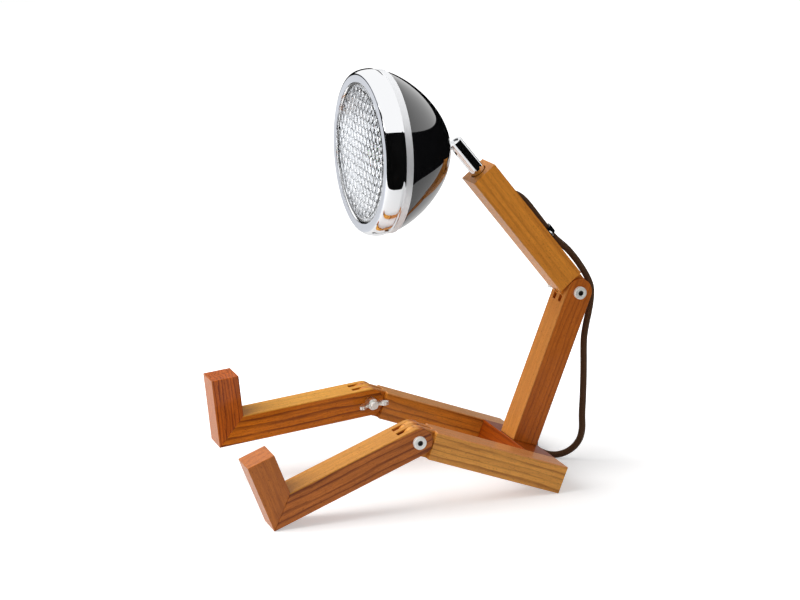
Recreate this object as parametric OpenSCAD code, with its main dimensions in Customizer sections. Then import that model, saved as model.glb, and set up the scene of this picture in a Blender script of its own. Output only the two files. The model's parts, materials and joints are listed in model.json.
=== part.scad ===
// Desk lamp in the shape of a seated robot: jointed wooden bars, a chrome neck and a round lamp head.
// Millimetres. +Z up, the lamp looks along -X, and its left leg is on the -Y side.
// The origin is on the table, under the middle of the lamp.

/* [Wooden bars] */
// Width of every bar, along the joint bolts
bar_w = 28; // [25:0.5:32]
// Depth of every bar, across the joint bolts
bar_t = 25; // [22:0.5:28]
// Distance from the hip's rear face to the knee bolt
thigh_len = 146; // [120:1:170]
// Distance from the knee bolt to the heel
shin_len = 144; // [120:1:170]
// Height of the foot above the sole side of the shin
foot_len = 62.5; // [50:0.5:80]
// Distance from the hip's top face to the elbow bolt
torso_len = 145; // [120:1:160]
// Distance from the elbow bolt to the arm's top face
arm_len = 148; // [130:1:170]
// Clear width between the two thighs
hip_gap = 94; // [80:1:120]
// Depth of the hip block, front to back
hip_depth = 31; // [28:0.5:40]

/* [Pose at rest] */
// Tilt of the thighs above the table
thigh_tilt = 20.7; // [16:0.1:24]
// Drop of the right shin below the horizontal
right_drop = 5.7; // [2:0.1:16]
// Lean of the upper arm forward of the vertical
arm_lean = 39.3; // [30:0.1:46]

/* [Finger joints] */
// Number of fingers across a joint
finger_count = 5; // [5:2:5]
// Side clearance of each tongue in its slot
finger_gap = 0.15; // [0.1:0.05:0.3]
// Clearance between a round finger end and the shoulder it turns in
knuckle_gap = 1; // [0.6:0.1:2]

/* [Dowels and wood screws] */
// Radius of the hip dowels
hip_dowel_r = 4; // [3:0.5:5]
// Length of a hip dowel
hip_dowel_len = 30; // [20:1:40]
// Radius of the heel dowels
heel_dowel_r = 3; // [2:0.5:4]
// Length of a heel dowel
heel_dowel_len = 24; // [16:1:26]
// Clearance of a glued dowel in its hole
dowel_fit = 0.05; // [0.02:0.01:0.1]
// Radius of the two screws that hold the torso
wood_screw_r = 2.5; // [2:0.1:3]
// Length of those screws
wood_screw_len = 60; // [50:1:70]

/* [Joint bolts and wing nuts] */
// Radius of the M6 joint bolts
bolt_r = 3; // [2.5:0.1:4]
// Radial running clearance on the bolts
bolt_fit = 0.05; // [0.02:0.01:0.1]
// Radius of the round bolt head
bolt_head_r = 5.75; // [5:0.05:8]
// Height of the bolt head
bolt_head_h = 3.3; // [2.5:0.1:5]
// Size across the flats of the hex socket
socket_af = 4; // [3:0.5:5]
// How far the bolt reaches past the bar on the nut side
bolt_reach = 12.5; // [11:0.5:16]
// Radius of the wing nut's body
nut_r = 5.5; // [4.5:0.1:7]
// Height of the wing nut's body
nut_h = 8.5; // [7:0.1:11]
// Span across the two wings
wing_span = 28; // [24:0.5:34]
// Thickness of a wing
wing_t = 3; // [2:0.1:4]
// Turn of the wings from the horizontal
wing_turn = -5; // [-45:1:45]
// Clearance between the nut and the wood
nut_seat_gap = 0.1; // [0.05:0.05:0.3]

/* [Neck] */
// Outer radius of the chrome neck tube
neck_r = 6.5; // [6:0.1:7.5]
// Wall of the neck tube
neck_wall = 0.9; // [0.6:0.05:0.9]
// Visible length of the tube above the arm
neck_out = 36; // [30:0.5:50]
// Length of the tube inside the arm
neck_in = 15; // [12:0.5:25]
// Distance from the ball's centre to the tube's mouth
ball_depth = 6; // [5.8:0.1:7]
// Radius of the ball
ball_r = 5.5; // [4.8:0.05:5.5]
// Radius of the stud on the ball
stud_r = 3; // [2.5:0.05:3]
// Clearance of the ball and stud in the tube
ball_fit = 0.1; // [0.05:0.01:0.15]
// Radius of the wire hole through ball and stud
stud_bore_r = 1.9; // [1.5:0.1:2]
// Radius of the mouth
mouth_r = 4; // [3.8:0.05:4.2]
// Width of the slot that lets the head nod down
slot_w = 6.6; // [6.4:0.1:7]
// Depth of the slot below the ball's centre
slot_below = 5; // [4:0.1:6]
// Wall of the bush in the arm
bush_wall = 1; // [0.8:0.1:2]
// How far the bush lies below the arm's top face
bush_recess = 1.5; // [1:0.1:3]
// Radial running clearance of tube and bush
neck_fit = 0.05; // [0.02:0.01:0.1]

/* [Lamp head] */
// Distance from the ball's centre to the dome's pole
dome_start = 10.6; // [10.2:0.1:14]
// Length of the dome, from its pole to the bezel
dome_len = 58; // [50:1:70]
// Radius of the dome at the bezel
dome_r = 69.3; // [66:0.1:76]
// Wall of the dome
dome_wall = 1; // [0.8:0.1:1.5]
// Depth of the bezel ring, front to back
bezel_len = 22.9; // [21:0.1:26]
// How far the band stands out from the dome
bezel_proud = 2.3; // [1.8:0.1:3]
// Length of the flange that holds the bezel on the dome
bezel_flange = 6; // [5:0.5:7]
// Length of the hollow between the flange and the band's crest
bezel_hollow = 4; // [3:0.5:5]
// Wall of the bezel ring
bezel_wall = 0.8; // [0.6:0.1:1]
// Outer radius of the flat front lip
lip_r = 66.4; // [66:0.1:67]
// Radius of the lens opening
opening_r = 60.5; // [58:0.1:62]
// Thickness of the lens at its rim
lens_t = 3.5; // [3:0.1:4]
// Rise of the lens from its rim to its middle
lens_crown = 2.5; // [1:0.1:4]
// Width of the rim of the lens that is under the lip
lens_seat = 3.6; // [3:0.1:4]
// Thickness of the lens gasket
gasket_t = 1; // [0.6:0.1:1.5]
// Wall of the reflector
reflector_wall = 0.8; // [0.6:0.1:1]
// Focal length of the reflector
reflector_focus = 20; // [18:0.5:24]

/* [Bulb] */
// Radius of the bulb holder
holder_r = 10; // [9:0.1:11]
// Length of the bulb holder
holder_len = 17; // [15:0.5:19]
// Radius of the capsule bulb
bulb_r = 7.5; // [6:0.1:8]
// Length of the capsule bulb above its holder
bulb_len = 36; // [30:1:38]
// Thickness of the holder's bracket
bracket_t = 1; // [0.8:0.1:1.5]

/* [Cord] */
// Diameter of the textile cord
cord_d = 6.2; // [5.8:0.1:6.2]
// Turns in each layer of the coil
coil_columns = 3; // [2:1:3]
// Layers of the coil
coil_layers = 2; // [2:1:2]
// Radius at the middle of the coil's windings
coil_r = 32; // [31.5:0.1:34]
// Distance of the clip from the elbow bolt, along the arm
clip_at = 60; // [57:0.5:63]
// Length of the clip along the arm
clip_len = 8; // [6:0.5:10]
// Wall of the clip
clip_wall = 1.4; // [1:0.1:1.6]

/* [Switch and plug] */
// Length of the inline switch
switch_len = 54; // [50:1:56]
// Width of the inline switch
switch_w = 22; // [20:0.5:26]
// Height of the inline switch
switch_h = 15; // [14:0.5:18]
// Wall of the switch housing
switch_wall = 1.8; // [1.4:0.1:2.2]
// Length of the rocker
rocker_len = 15; // [12:0.5:18]
// Width of the rocker
rocker_w = 9; // [8:0.5:11]
// Length of the plug's body
plug_len = 37; // [34:0.5:42]
// Width of the plug's body
plug_w = 35.3; // [32:0.1:36]
// Height of the plug's body
plug_h = 13.7; // [13:0.1:15]
// Radius of a plug pin
pin_r = 2; // [1.9:0.05:2.4]
// Length of a plug pin
pin_len = 19; // [17:0.5:20]
// Distance between the pins
pin_pitch = 18.6; // [17.5:0.1:19]
// Length of the plug's strain relief
relief_len = 24; // [20:1:30]

/* [Hidden] */

$fn = 64;
eps = 0.01;
// How far a cut runs past the face it goes through
cut = 1;

// Colours
wood = [0.76, 0.52, 0.33];
dowel_wood = [0.85, 0.70, 0.50];
steel = [0.72, 0.72, 0.74];
chrome = [0.80, 0.81, 0.83];
black = [0.06, 0.06, 0.07];
cord_brown = [0.27, 0.15, 0.10];

// Bars and joints
knuckle_r = bar_t / 2;
shoulder = knuckle_r + knuckle_gap;
finger_w = bar_w / finger_count;
tongues = [1, 3];
ears = [0, 2, 4];
bolt_hole_r = bolt_r + bolt_fit;
leg_y = hip_gap / 2 + bar_w / 2;
torso_x = -hip_depth / 2;
dowel_end_gap = 0.5;
screw_head_r = 2 * wood_screw_r;

// Rotation about Y of a point in a bar's own frame, as [x, z]
function turned(x, z, angle) = [x * cos(angle) + z * sin(angle), z * cos(angle) - x * sin(angle)];

// Places in the XZ plane, first from the hip's rear bottom edge
knee_rear = turned(-thigh_len, knuckle_r, thigh_tilt);
elbow_rear = turned(torso_x, bar_t + torso_len, thigh_tilt);
heel_reach = norm([shin_len, knuckle_r]);
left_drop = asin(knee_rear[1] / heel_reach) - atan(knuckle_r / shin_len);
left_toe = knee_rear + turned(-shin_len, foot_len - knuckle_r, -left_drop);
hip_x = -(left_toe[0] + elbow_rear[0] + knuckle_r) / 2;

// Then in the lamp's frame
knee = [hip_x + knee_rear[0], 0, knee_rear[1]];
elbow = [hip_x + elbow_rear[0], 0, elbow_rear[1]];
ball_at = arm_len + neck_out - ball_depth;
ball_rear = turned(0, ball_at, -arm_lean);
ball = elbow + [ball_rear[0], 0, ball_rear[1]];

// Neck
neck_bore_r = neck_r - neck_wall;
seat_r = ball_r + ball_fit;
neck_foot = arm_len - neck_in;
bush_bore_r = neck_r + neck_fit;
bush_r = bush_bore_r + bush_wall;
plug_t = 4;
seat_h = 6;
seat_top = 3.8;
wire_hole_r = 2.6;

// Cord channel in the arm: down its middle, then out through its back
channel_r = cord_d / 2 + 1.1;
channel_turn = neck_foot - 5;
channel_exit_r = channel_r + 0.8;
channel_elbow = 2.2;
exit_angle = 35;

// Lamp head, along its own axis from the ball's centre
dome_end = dome_start + dome_len;
bezel_end = dome_end + bezel_len;
shell_lip = 7;
rim_gap = 0.2;
pad_t = 1.6;
pad_r = 8;
lens_r = opening_r + lens_seat;
lens_front = bezel_end - bezel_wall;
lens_back = lens_front - lens_t;
gasket_back = lens_back - gasket_t;
flange_back = gasket_back - reflector_wall;
bowl_margin = 2.5;
bowl_r = opening_r - bowl_margin;
bowl_depth = bowl_r * bowl_r / (4 * reflector_focus);
bowl_pole = flange_back - bowl_depth;
bowl_hole_r = holder_r + 1;
nut_af = 10;
stud_nut_h = 5;
bracket_step = 3;
stud_past_nut = 2.5;
lead_room = 4;
stud_end = dome_start + pad_t + bracket_step + stud_nut_h + stud_past_nut;
holder_start = stud_end + lead_room;
holder_end = holder_start + holder_len;

// A superellipse gives the dome: radius at a distance from the pole
dome_power = 1.34;
dome_round = 1.85;
dome_steps = 22;
function dome_radius(part, r) = r * pow(1 - pow(1 - part, dome_power), 1 / dome_round);
function dome_curve(r, start, end) =
    [for (i = [1:dome_steps]) let (part = pow(i / dome_steps, 2)) [dome_radius(part, r), start + part * (end - start)]];
function backwards(list) = [for (i = [len(list) - 1:-1:0]) list[i]];
function arc(cx, cy, r, from, to, steps) =
    [for (i = [0:steps]) let (a = from + (to - from) * i / steps) [cx + r * cos(a), cy + r * sin(a)]];

// Cord route: points chosen by hand, from the neck to the coil and from the coil to the plug
cord_r = cord_d / 2;
route_arm = [[75.4, 0, 266.7], [81, 0, 262.6], [89, 0, 259.4], [96.9, 0, 257.5], [101.5, 0, 255.9],
             [105.9, 0, 253.3], [110, 0, 249.6], [114.2, 0, 244.9], [120.1, 0, 237.5], [126.9, 0, 228.9],
             [133.2, 0, 221.1], [138.4, 0, 215]];
route_elbow = [[138.8, 0, 214.6], [143.1, 0, 210.5], [148.2, 0, 206.2], [153.3, 0, 201.4], [158.6, 0, 195.4],
               [163.8, 0, 188.7], [168.7, 0, 181.6], [172.9, 0, 174.5], [176.1, 0, 167], [177.1, 0, 160],
               [176.7, 0, 151.8], [175.4, 0, 143], [173.2, 0, 132], [171.3, 0, 120]];
route_hang = [[171.3, 0, 120], [171, 0, 110], [171.4, 0, 94], [171.6, 0, 78], [171.4, 0, 60], [171, 0, 45],
              [171.2, -0.3, 30.8], [169.3, 0.6, 20.8], [165, 3.4, 12.7], [159, 7.5, 6.9], [152.3, 12.4, 3.7],
              [145.9, 18, 3.1], [140.7, 24.2, 4.5], [137.3, 30.8, 6.5], [135.7, 37.1, 7.5]];
route_run = [[130.3, 88.9, 7.5], [129.4, 96, 6.4], [128.2, 104, 4.3], [126.8, 111.5, 3.2], [124.6, 119, 3.1],
             [121.4, 126.6, 3.1], [117.2, 133.6, 3.1], [112.2, 139.8, 3.1], [106.5, 145, 3.1]];
route_tail = [[106.5, 145, 9.3], [100.3, 151.6, 9.2], [93.5, 159.5, 7.8], [86, 168.5, 5.3], [77.5, 177.5, 3.6],
              [67, 186, 3.2], [56, 193.5, 3.6], [45.5, 199.2, 4.8], [34.7, 202.9, 6.2], [24, 204, 6.85]];
coil_centre = [79.5, 118];
coil_in = coil_r - cord_d * coil_columns / 2;
coil_out = coil_r + cord_d * coil_columns / 2;
coil_h = cord_d * coil_layers;
cord_sides = 10;

// Switch and plug places: the switch's middle and heading, and the plug's cord end
switch_place = [133, 63, 0];
switch_heading = 96;
plug_place = [24, 204, 0];
cord_height = switch_h / 2;

// Frames of the moving groups
module hip_frame() translate([hip_x, 0, 0]) rotate([0, thigh_tilt, 0]) children();
module thigh_frame(side) hip_frame() translate([0, side * leg_y, 0]) children();
module shin_frame(side, drop) translate(knee + [0, side * leg_y, 0]) rotate([0, -drop, 0]) children();
module arm_frame() translate(elbow) rotate([0, -arm_lean, 0]) children();
module neck_frame() arm_frame() translate([0, 0, ball_at]) children();
module head_frame() translate(ball) rotate([0, -90, 0]) children();
module torso_frame() hip_frame() translate([torso_x, 0, bar_t + torso_len]) children();

// Rod along Y, centred
module cross_rod(r, length) rotate([90, 0, 0]) cylinder(r = r, h = length, center = true);

// Fingers round a pivot at the origin, with the bar on the +X side
module fingers(which, gap) {
    for (i = which) translate([0, -bar_w / 2 + i * finger_w + gap, 0]) {
        translate([0, finger_w - 2 * gap, 0]) rotate([90, 0, 0]) cylinder(r = knuckle_r, h = finger_w - 2 * gap);
        translate([0, 0, -knuckle_r]) cube([shoulder + eps, finger_w - 2 * gap, bar_t]);
    }
}

// A polygon in the XZ plane, extruded across the bar's width
module bar_side(points) rotate([90, 0, 0]) linear_extrude(bar_w, center = true) polygon(points);

// One thigh, with its knee tongues and dowel holes
module thigh(side) {
    color(wood) thigh_frame(side) difference() {
        union() {
            bar_side([[0, 0], [0, bar_t], [shoulder - thigh_len, bar_t], [shoulder - thigh_len, 0]]);
            translate([-thigh_len, 0, knuckle_r]) fingers(tongues, finger_gap);
        }
        translate([-thigh_len, 0, knuckle_r]) cross_rod(bolt_hole_r, bar_w + 2 * cut);
        hip_dowel_places() translate([0, -side * bar_w / 2, 0]) cross_rod(hip_dowel_r + dowel_fit, hip_dowel_len);
    }
}

// The two dowel places of a hip side, in the hip's XZ plane
module hip_dowel_places() {
    for (x = [hip_depth / 4, hip_depth * 3 / 4]) translate([-x, 0, bar_t / 2]) children();
}

module left_thigh() thigh(-1);
module right_thigh() thigh(1);

module hip_block() {
    color(wood) hip_frame() difference() {
        translate([-hip_depth, -hip_gap / 2, 0]) cube([hip_depth, hip_gap, bar_t]);
        for (side = [-1, 1]) hip_dowel_places() translate([0, side * hip_gap / 2, 0])
            cross_rod(hip_dowel_r + dowel_fit, hip_dowel_len);
        torso_screw_places() {
            translate([0, 0, -eps]) cylinder(r = wood_screw_r + dowel_fit, h = bar_t + cut);
            translate([0, 0, -eps])
                cylinder(r1 = screw_head_r + dowel_fit, r2 = wood_screw_r + dowel_fit, h = wood_screw_r);
        }
    }
}

module hip_dowels() {
    color(dowel_wood) hip_frame() for (side = [-1, 1]) hip_dowel_places()
        translate([0, side * hip_gap / 2, 0]) cross_rod(hip_dowel_r, hip_dowel_len - 2 * dowel_end_gap);
}

// Places of the two screws that go up through the hip block into the torso
module torso_screw_places() {
    for (side = [-1, 1]) translate([torso_x, side * bar_w / 4, 0]) children();
}

module torso_screws() {
    point_r = 0.3;
    socket_r = 1.5;
    color(steel) hip_frame() torso_screw_places() difference() {
        union() {
            cylinder(r = wood_screw_r, h = wood_screw_len - wood_screw_r);
            translate([0, 0, wood_screw_len - wood_screw_r]) cylinder(r1 = wood_screw_r, r2 = point_r, h = wood_screw_r);
            cylinder(r1 = screw_head_r, r2 = wood_screw_r, h = wood_screw_r);
        }
        translate([0, 0, -eps]) cylinder(r = socket_r, h = socket_r, $fn = 6);
    }
}

module torso_bar() {
    color(wood) torso_frame() difference() {
        union() {
            translate([-knuckle_r, -bar_w / 2, -torso_len]) cube([bar_t, bar_w, torso_len - shoulder]);
            rotate([0, 90, 0]) fingers(ears, 0);
        }
        cross_rod(bolt_hole_r, bar_w + 2 * cut);
        for (side = [-1, 1]) translate([0, side * bar_w / 4, -torso_len - eps])
            cylinder(r = wood_screw_r + dowel_fit, h = wood_screw_len - bar_t + cut);
    }
}

// Shin, with three ears at the knee and a mitred heel
module shin(side, drop) {
    color(wood) shin_frame(side, drop) difference() {
        union() {
            bar_side([[-shoulder, -knuckle_r], [-shoulder, knuckle_r], [bar_t - shin_len, knuckle_r],
                      [-shin_len, -knuckle_r]]);
            rotate([0, 180, 0]) fingers(ears, 0);
        }
        cross_rod(bolt_hole_r, bar_w + 2 * cut);
        heel_dowel_places() cylinder(r = heel_dowel_r + dowel_fit, h = heel_dowel_len, center = true);
    }
}

module foot(side, drop) {
    color(wood) shin_frame(side, drop) difference() {
        bar_side([[-shin_len, -knuckle_r], [bar_t - shin_len, knuckle_r], [bar_t - shin_len, foot_len - knuckle_r],
                  [-shin_len, foot_len - knuckle_r]]);
        heel_dowel_places() cylinder(r = heel_dowel_r + dowel_fit, h = heel_dowel_len, center = true);
    }
}

// Two dowels cross the mitre at a right angle
module heel_dowel_places() {
    for (y = [-bar_w / 4, bar_w / 4]) translate([bar_t / 2 - shin_len, y, 0]) rotate([0, 135, 0]) children();
}

module foot_dowels(side, drop) {
    color(dowel_wood) shin_frame(side, drop) heel_dowel_places()
        cylinder(r = heel_dowel_r, h = heel_dowel_len - 2 * dowel_end_gap, center = true);
}

// Joint bolt along +Y, with its head's seat at the origin and the head on the -Y side
module joint_bolt() {
    dish = 0.4;
    soft = 0.8;
    ring = 1.2;
    socket_depth = 2.5;
    color(steel) rotate([-90, 0, 0]) difference() {
        union() {
            cylinder(r = bolt_r, h = bar_w + bolt_reach);
            rotate_extrude() polygon(concat(
                [[0, 0], [bolt_head_r, 0]],
                arc(bolt_head_r - soft, soft - bolt_head_h, soft, 0, -90, 6),
                [[bolt_head_r - soft - ring, -bolt_head_h], [bolt_head_r - soft - ring - dish, dish - bolt_head_h],
                 [0, dish - bolt_head_h]]));
        }
        translate([0, 0, -bolt_head_h - eps]) cylinder(r = socket_af / sqrt(3), h = socket_depth, $fn = 6);
    }
}

// Wing nut along +Y, with its seat at the origin
module wing_nut() {
    tip_r = 3.1;
    tip_x = wing_span / 2 - tip_r;
    tip_z = nut_h + 0.9;
    foot_z = 1.5;
    collar_h = 2;
    root_r = nut_r - 0.5;
    edge = 0.6;
    under = -45;
    over = 125;
    color(steel) rotate([-90, 0, 0]) difference() {
        union() {
            rotate_extrude() polygon([[0, 0], [nut_r, 0], [nut_r, collar_h], [root_r, nut_h - edge], [root_r - edge, nut_h],
                                      [0, nut_h]]);
            for (turn = [0, 180]) rotate([0, 0, wing_turn + turn]) rotate([90, 0, 0])
                linear_extrude(wing_t, center = true) union() {
                    translate([tip_x, tip_z]) circle(r = tip_r);
                    polygon([[0, foot_z], [root_r + edge / 6, foot_z], [tip_x + tip_r * cos(under), tip_z + tip_r * sin(under)],
                             [tip_x + tip_r * cos(over), tip_z + tip_r * sin(over)], [root_r - edge / 2, nut_h - edge],
                             [0, nut_h - edge]]);
                }
        }
        translate([0, 0, -cut]) cylinder(r = bolt_hole_r, h = nut_h + 2 * cut);
    }
}

// Knee hardware: the bolt's head is on the outer side, the wing nut on the inner side
module knee_bolt(side, drop) {
    shin_frame(side, drop) scale([1, -side, 1]) translate([0, -bar_w / 2, 0]) joint_bolt();
}
module knee_wing_nut(side) {
    translate(knee + [0, side * (hip_gap / 2 - nut_seat_gap), 0]) scale([1, -side, 1]) wing_nut();
}

module left_shin() shin(-1, left_drop);
module left_foot() foot(-1, left_drop);
module left_foot_dowels() foot_dowels(-1, left_drop);
module left_knee_bolt() knee_bolt(-1, left_drop);
module left_wing_nut() knee_wing_nut(-1);
module right_shin() shin(1, right_drop);
module right_foot() foot(1, right_drop);
module right_foot_dowels() foot_dowels(1, right_drop);
module right_knee_bolt() knee_bolt(1, right_drop);
module right_wing_nut() knee_wing_nut(1);
module elbow_bolt() translate(elbow - [0, bar_w / 2, 0]) joint_bolt();
module elbow_wing_nut() translate(elbow + [0, bar_w / 2 + nut_seat_gap, 0]) wing_nut();

// Upper arm, with its elbow tongues, the bore for the neck and the cord's way out
module upper_arm() {
    color(wood) arm_frame() difference() {
        union() {
            translate([-knuckle_r, -bar_w / 2, shoulder]) cube([bar_t, bar_w, arm_len - shoulder]);
            rotate([0, -90, 0]) fingers(tongues, finger_gap);
        }
        cross_rod(bolt_hole_r, bar_w + 2 * cut);
        translate([0, 0, neck_foot]) cylinder(r = bush_r + dowel_fit, h = neck_in + cut);
        translate([0, 0, channel_turn - channel_elbow])
            cylinder(r = channel_r, h = neck_foot - channel_turn + 2 * channel_elbow);
        translate([0, 0, channel_turn]) rotate([0, 180 - exit_angle, 0]) translate([0, 0, -channel_elbow])
            cylinder(r = channel_exit_r, h = 2 * bar_t);
        translate([knuckle_r - clip_screw_len + 2 * clip_wall, clip_screw_y, clip_at]) rotate([0, 90, 0])
            cylinder(r = clip_screw_r + dowel_fit, h = clip_screw_len);
    }
}

module neck_bush() {
    color([0.75, 0.62, 0.30]) arm_frame() translate([0, 0, neck_foot]) difference() {
        cylinder(r = bush_r, h = neck_in - bush_recess);
        translate([0, 0, -cut]) cylinder(r = bush_bore_r, h = neck_in + cut);
    }
}

// Saddle clip that holds the cord on the arm's back, with its screw on the left side
clip_screw_r = 1.5;
clip_screw_len = 14;
clip_screw_y = -8.5;
clip_pad = 3.5;
clip_cord_x = knuckle_r + 3.55;
clip_hole_r = cord_r + 0.15;
module cord_clip() {
    color(black) arm_frame() translate([0, 0, clip_at]) difference() {
        linear_extrude(clip_len, center = true) difference() {
            union() {
                translate([clip_cord_x, 0]) circle(r = clip_hole_r + clip_wall);
                translate([knuckle_r, clip_screw_y - clip_pad]) square([clip_wall, clip_pad - clip_screw_y]);
                translate([knuckle_r, -clip_hole_r - clip_wall])
                    square([clip_cord_x - knuckle_r, 2 * (clip_hole_r + clip_wall)]);
            }
            translate([clip_cord_x, 0]) circle(r = clip_hole_r);
            translate([knuckle_r - cut, -clip_hole_r]) square([clip_cord_x - knuckle_r + cut, 2 * clip_hole_r]);
            translate([knuckle_r - 2 * bar_t, -bar_w]) square([2 * bar_t, 2 * bar_w]);
        }
        translate([0, clip_screw_y, 0]) rotate([0, 90, 0]) cylinder(r = clip_screw_r + dowel_fit, h = 2 * bar_t);
    }
}

module clip_screw() {
    head_r = 3;
    head_h = 1.9;
    slot = 0.7;
    color(steel) arm_frame() translate([knuckle_r + clip_wall, clip_screw_y, clip_at]) rotate([0, 90, 0]) difference() {
        union() {
            translate([0, 0, -clip_screw_len + 3 * clip_wall])
                cylinder(r = clip_screw_r, h = clip_screw_len - 3 * clip_wall);
            rotate_extrude() polygon(concat([[0, 0]], [for (a = [0:15:90]) [head_r * cos(a), head_h * sin(a)]]));
        }
        translate([-head_r, -slot / 2, head_h - slot]) cube([2 * head_r, slot, slot + cut]);
    }
}

// Neck tube, along its own axis from the ball's centre
module neck_tube() {
    foot = neck_foot - ball_at;
    color(chrome) neck_frame() difference() {
        translate([0, 0, foot]) cylinder(r = neck_r, h = ball_depth - foot);
        translate([0, 0, foot - cut]) cylinder(r = neck_bore_r, h = cut - foot);
        sphere(r = seat_r);
        cylinder(r = mouth_r, h = ball_depth + cut);
        translate([-neck_r - cut, -slot_w / 2, slot_w / 2 - slot_below])
            cube([neck_r + cut, slot_w, ball_depth + slot_below]);
        translate([0, 0, slot_w / 2 - slot_below]) rotate([0, -90, 0]) cylinder(r = slot_w / 2, h = neck_r + cut);
    }
}

// Cup that presses on the ball from below
module ball_seat() {
    color([0.75, 0.62, 0.30]) neck_frame() difference() {
        translate([0, 0, -seat_top - seat_h]) cylinder(r = neck_bore_r - neck_fit, h = seat_h);
        sphere(r = seat_r);
        translate([0, 0, -seat_top - seat_h - cut]) cylinder(r = wire_hole_r, h = seat_h + seat_top);
    }
}

module neck_plug() {
    color([0.75, 0.62, 0.30]) neck_frame() translate([0, 0, neck_foot - ball_at]) difference() {
        cylinder(r = neck_bore_r - neck_fit, h = plug_t);
        translate([0, 0, -cut]) cylinder(r = wire_hole_r, h = plug_t + 2 * cut);
    }
}

// Compression spring between the plug and the ball seat
spring_wire_r = 0.45;
spring_turns = 6;
spring_steps = 12;
spring_gap = 0.1;
spring_room = 0.35;
module neck_spring() {
    low = neck_foot - ball_at + plug_t + spring_wire_r + spring_gap;
    high = -seat_top - seat_h - spring_wire_r - spring_gap;
    mean_r = neck_bore_r - spring_wire_r - spring_room;
    count = spring_turns * spring_steps;
    color(steel) neck_frame() sweep([for (i = [0:count])
        [mean_r * cos(360 * i / spring_steps), mean_r * sin(360 * i / spring_steps), low + (high - low) * i / count]],
        spring_wire_r, 6);
}

// Two insulated leads, side by side
lead_r = 0.9;
lead_sides = 8;
lead_y = lead_r + 0.05;
module neck_leads() {
    color("white") neck_frame() for (side = [-1, 1]) translate([0, side * lead_y, neck_foot - ball_at])
        cylinder(r = lead_r, h = ball_at - neck_foot - seat_r - cut);
}

// Head pieces, along +Z of the head's frame
module ball_stud() {
    collar_r = 4.4;
    collar_t = 1.6;
    color(chrome) head_frame() difference() {
        union() {
            sphere(r = ball_r);
            cylinder(r = stud_r, h = stud_end);
            translate([0, 0, dome_start - collar_t]) cylinder(r = collar_r, h = collar_t);
        }
        translate([0, 0, -ball_r - cut]) cylinder(r = stud_bore_r, h = stud_end + ball_r + 2 * cut);
    }
}

module stud_nut() {
    color(steel) head_frame() translate([0, 0, dome_start + pad_t + bracket_step]) difference() {
        cylinder(r = nut_af / sqrt(3), h = stud_nut_h, $fn = 6);
        translate([0, 0, -cut]) cylinder(r = stud_r + bolt_fit, h = stud_nut_h + 2 * cut);
    }
}

module lamp_shell() {
    inner = [for (p = dome_curve(dome_r - dome_wall, dome_start + dome_wall, dome_end))
        if (p[0] > pad_r && p[1] > dome_start + pad_t) p];
    hole_r = stud_r + bolt_fit;
    color(black) head_frame() rotate_extrude($fn = 128) polygon(concat(
        [[hole_r, dome_start + pad_t], [hole_r, dome_start]],
        [for (p = dome_curve(dome_r, dome_start, dome_end)) if (p[0] > hole_r) p],
        [[dome_r, dome_end + shell_lip], [dome_r - dome_wall, dome_end + shell_lip]],
        backwards(inner), [[pad_r, dome_start + pad_t]]));
}

// Line of the bezel from its rear edge to its lip, moved in by a wall: flange, hollow, crest, quarter ellipse
band_r = dome_r + bezel_proud;
flange_r = dome_r + rim_gap + bezel_wall;
crest_at = dome_end + bezel_flange + bezel_hollow;
function hollow_r(part) = flange_r + (band_r - flange_r) * (1 - cos(180 * part)) / 2;
function bezel_line(wall) = concat(
    [[flange_r - wall, dome_end], [flange_r - wall, dome_end + bezel_flange]],
    [for (i = [1:6]) [hollow_r(i / 6) - wall, dome_end + bezel_flange + bezel_hollow * i / 6]],
    [for (a = [10:10:90]) [lip_r + (band_r - lip_r - wall) * cos(a), crest_at + (bezel_end - crest_at - wall) * sin(a)]]);
function bezel_inner_r(at) = let (part = (at - crest_at) / (bezel_end - crest_at - bezel_wall))
    lip_r + (band_r - lip_r - bezel_wall) * sqrt(1 - part * part);

module bezel_ring() {
    color(chrome) head_frame() rotate_extrude($fn = 128) polygon(concat(
        bezel_line(0), [[opening_r, bezel_end], [opening_r, bezel_end - bezel_wall]], backwards(bezel_line(bezel_wall))));
}

// Lens: a disc with a crowned front that starts a little inside the lip
lens_gap = 0.1;
lens_step = 0.5;
crown_r = opening_r - 3 * lens_step;
crown_steps = 10;
module lens() {
    color([0.85, 0.88, 0.90, 0.6]) head_frame() rotate_extrude($fn = 128) polygon(concat(
        [[0, lens_back], [lens_r, lens_back], [lens_r, lens_front - lens_gap],
         [opening_r - lens_step, lens_front - lens_gap]],
        [for (i = [crown_steps:-1:0]) let (part = i / crown_steps)
            [crown_r * part, lens_front - lens_gap - lens_step + lens_crown * (1 - part * part)]]));
}

module lens_gasket() {
    color(black) head_frame() translate([0, 0, gasket_back]) difference() {
        cylinder(r = lens_r, h = gasket_t, $fn = 128);
        translate([0, 0, -cut]) cylinder(r = bowl_r, h = gasket_t + 2 * cut, $fn = 128);
    }
}

// Parabolic reflector with a flange under the gasket
bowl_steps = 14;
function bowl_curve(shift) = [for (i = [0:bowl_steps]) let (r = bowl_hole_r + (bowl_r - bowl_hole_r) * i / bowl_steps)
    [r, bowl_pole + shift + r * r / (4 * reflector_focus)]];
module reflector() {
    color([0.9, 0.9, 0.92]) head_frame() rotate_extrude($fn = 128) polygon(concat(
        bowl_curve(reflector_wall),
        [[lens_r, gasket_back], [lens_r, flange_back], [bowl_r + reflector_wall, flange_back]],
        backwards(bowl_curve(0))));
}

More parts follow.
